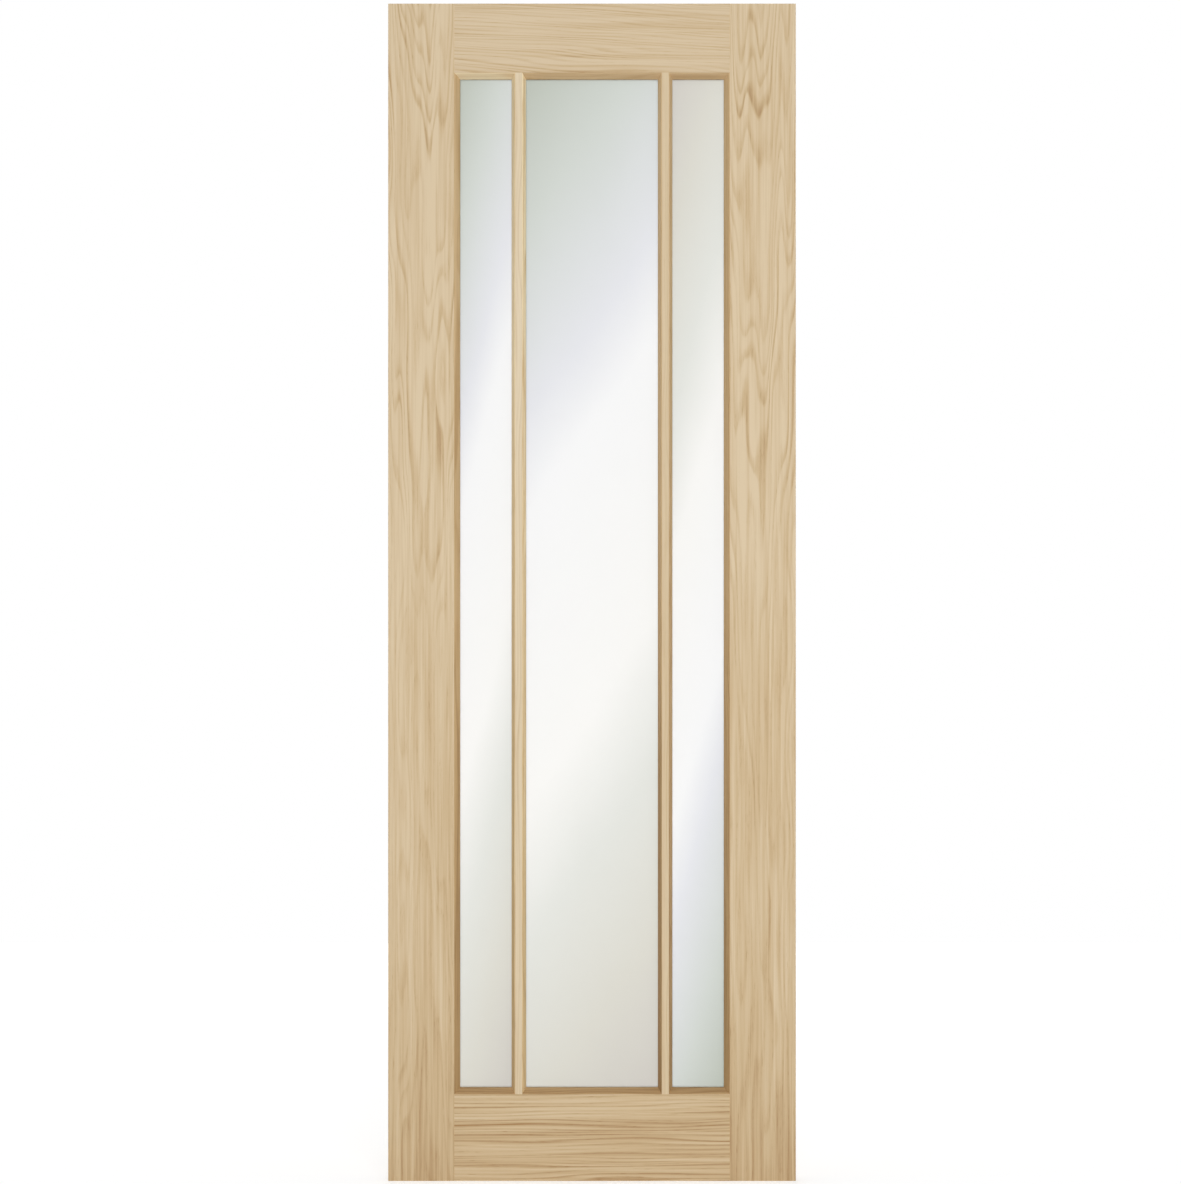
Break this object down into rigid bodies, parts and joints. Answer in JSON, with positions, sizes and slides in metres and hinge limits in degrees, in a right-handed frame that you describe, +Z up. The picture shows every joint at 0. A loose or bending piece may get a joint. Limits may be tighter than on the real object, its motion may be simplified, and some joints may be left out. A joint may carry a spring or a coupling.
{
  "type": "glazed pocket door leaf",
  "caption": "Tall flat oak door leaf for a sliding pocket, with tall frosted glass panes between slim upright glazing bars and mitred chamfered beads.",
  "frame": {"origin": "centre of the leaf's top edge, where the hangers of a sliding track are fixed", "axes": "+X across the leaf to the right seen from the front, -Y out of the front face, +Z up the leaf"},
  "size_m": [0.686, 0.035, 1.981],
  "materials": {
    "oak_veneer": "unfinished sanded oak veneer",
    "solid_oak": "unfinished sanded oak",
    "timber_core": "sawn softwood",
    "satin_glass": "satin frosted"
  },
  "bodies": {
    "root": {"bottom_rail_back_veneer": "oak_veneer", "bottom_rail_core": "timber_core", "bottom_rail_front_veneer": "oak_veneer", "centre_light_back_bottom_bead": "solid_oak", "centre_light_back_left_bead": "solid_oak", "centre_light_back_right_bead": "solid_oak", "centre_light_back_top_bead": "solid_oak", "centre_light_front_bottom_bead": "solid_oak", "centre_light_front_left_bead": "solid_oak", "centre_light_front_right_bead": "solid_oak", "centre_light_front_top_bead": "solid_oak", "centre_pane": "satin_glass", "left_glazing_bar": "solid_oak", "left_light_back_bottom_bead": "solid_oak", "left_light_back_left_bead": "solid_oak", "left_light_back_right_bead": "solid_oak", "left_light_back_top_bead": "solid_oak", "left_light_front_bottom_bead": "solid_oak", "left_light_front_left_bead": "solid_oak", "left_light_front_right_bead": "solid_oak", "left_light_front_top_bead": "solid_oak", "left_pane": "satin_glass", "left_stile_back_veneer": "oak_veneer", "left_stile_core": "timber_core", "left_stile_front_veneer": "oak_veneer", "left_stile_lipping": "solid_oak", "right_glazing_bar": "solid_oak", "right_light_back_bottom_bead": "solid_oak", "right_light_back_left_bead": "solid_oak", "right_light_back_right_bead": "solid_oak", "right_light_back_top_bead": "solid_oak", "right_light_front_bottom_bead": "solid_oak", "right_light_front_left_bead": "solid_oak", "right_light_front_right_bead": "solid_oak", "right_light_front_top_bead": "solid_oak", "right_pane": "satin_glass", "right_stile_back_veneer": "oak_veneer", "right_stile_core": "timber_core", "right_stile_front_veneer": "oak_veneer", "right_stile_lipping": "solid_oak", "top_rail_back_veneer": "oak_veneer", "top_rail_core": "timber_core", "top_rail_front_veneer": "oak_veneer"}
  },
  "joints": []
}
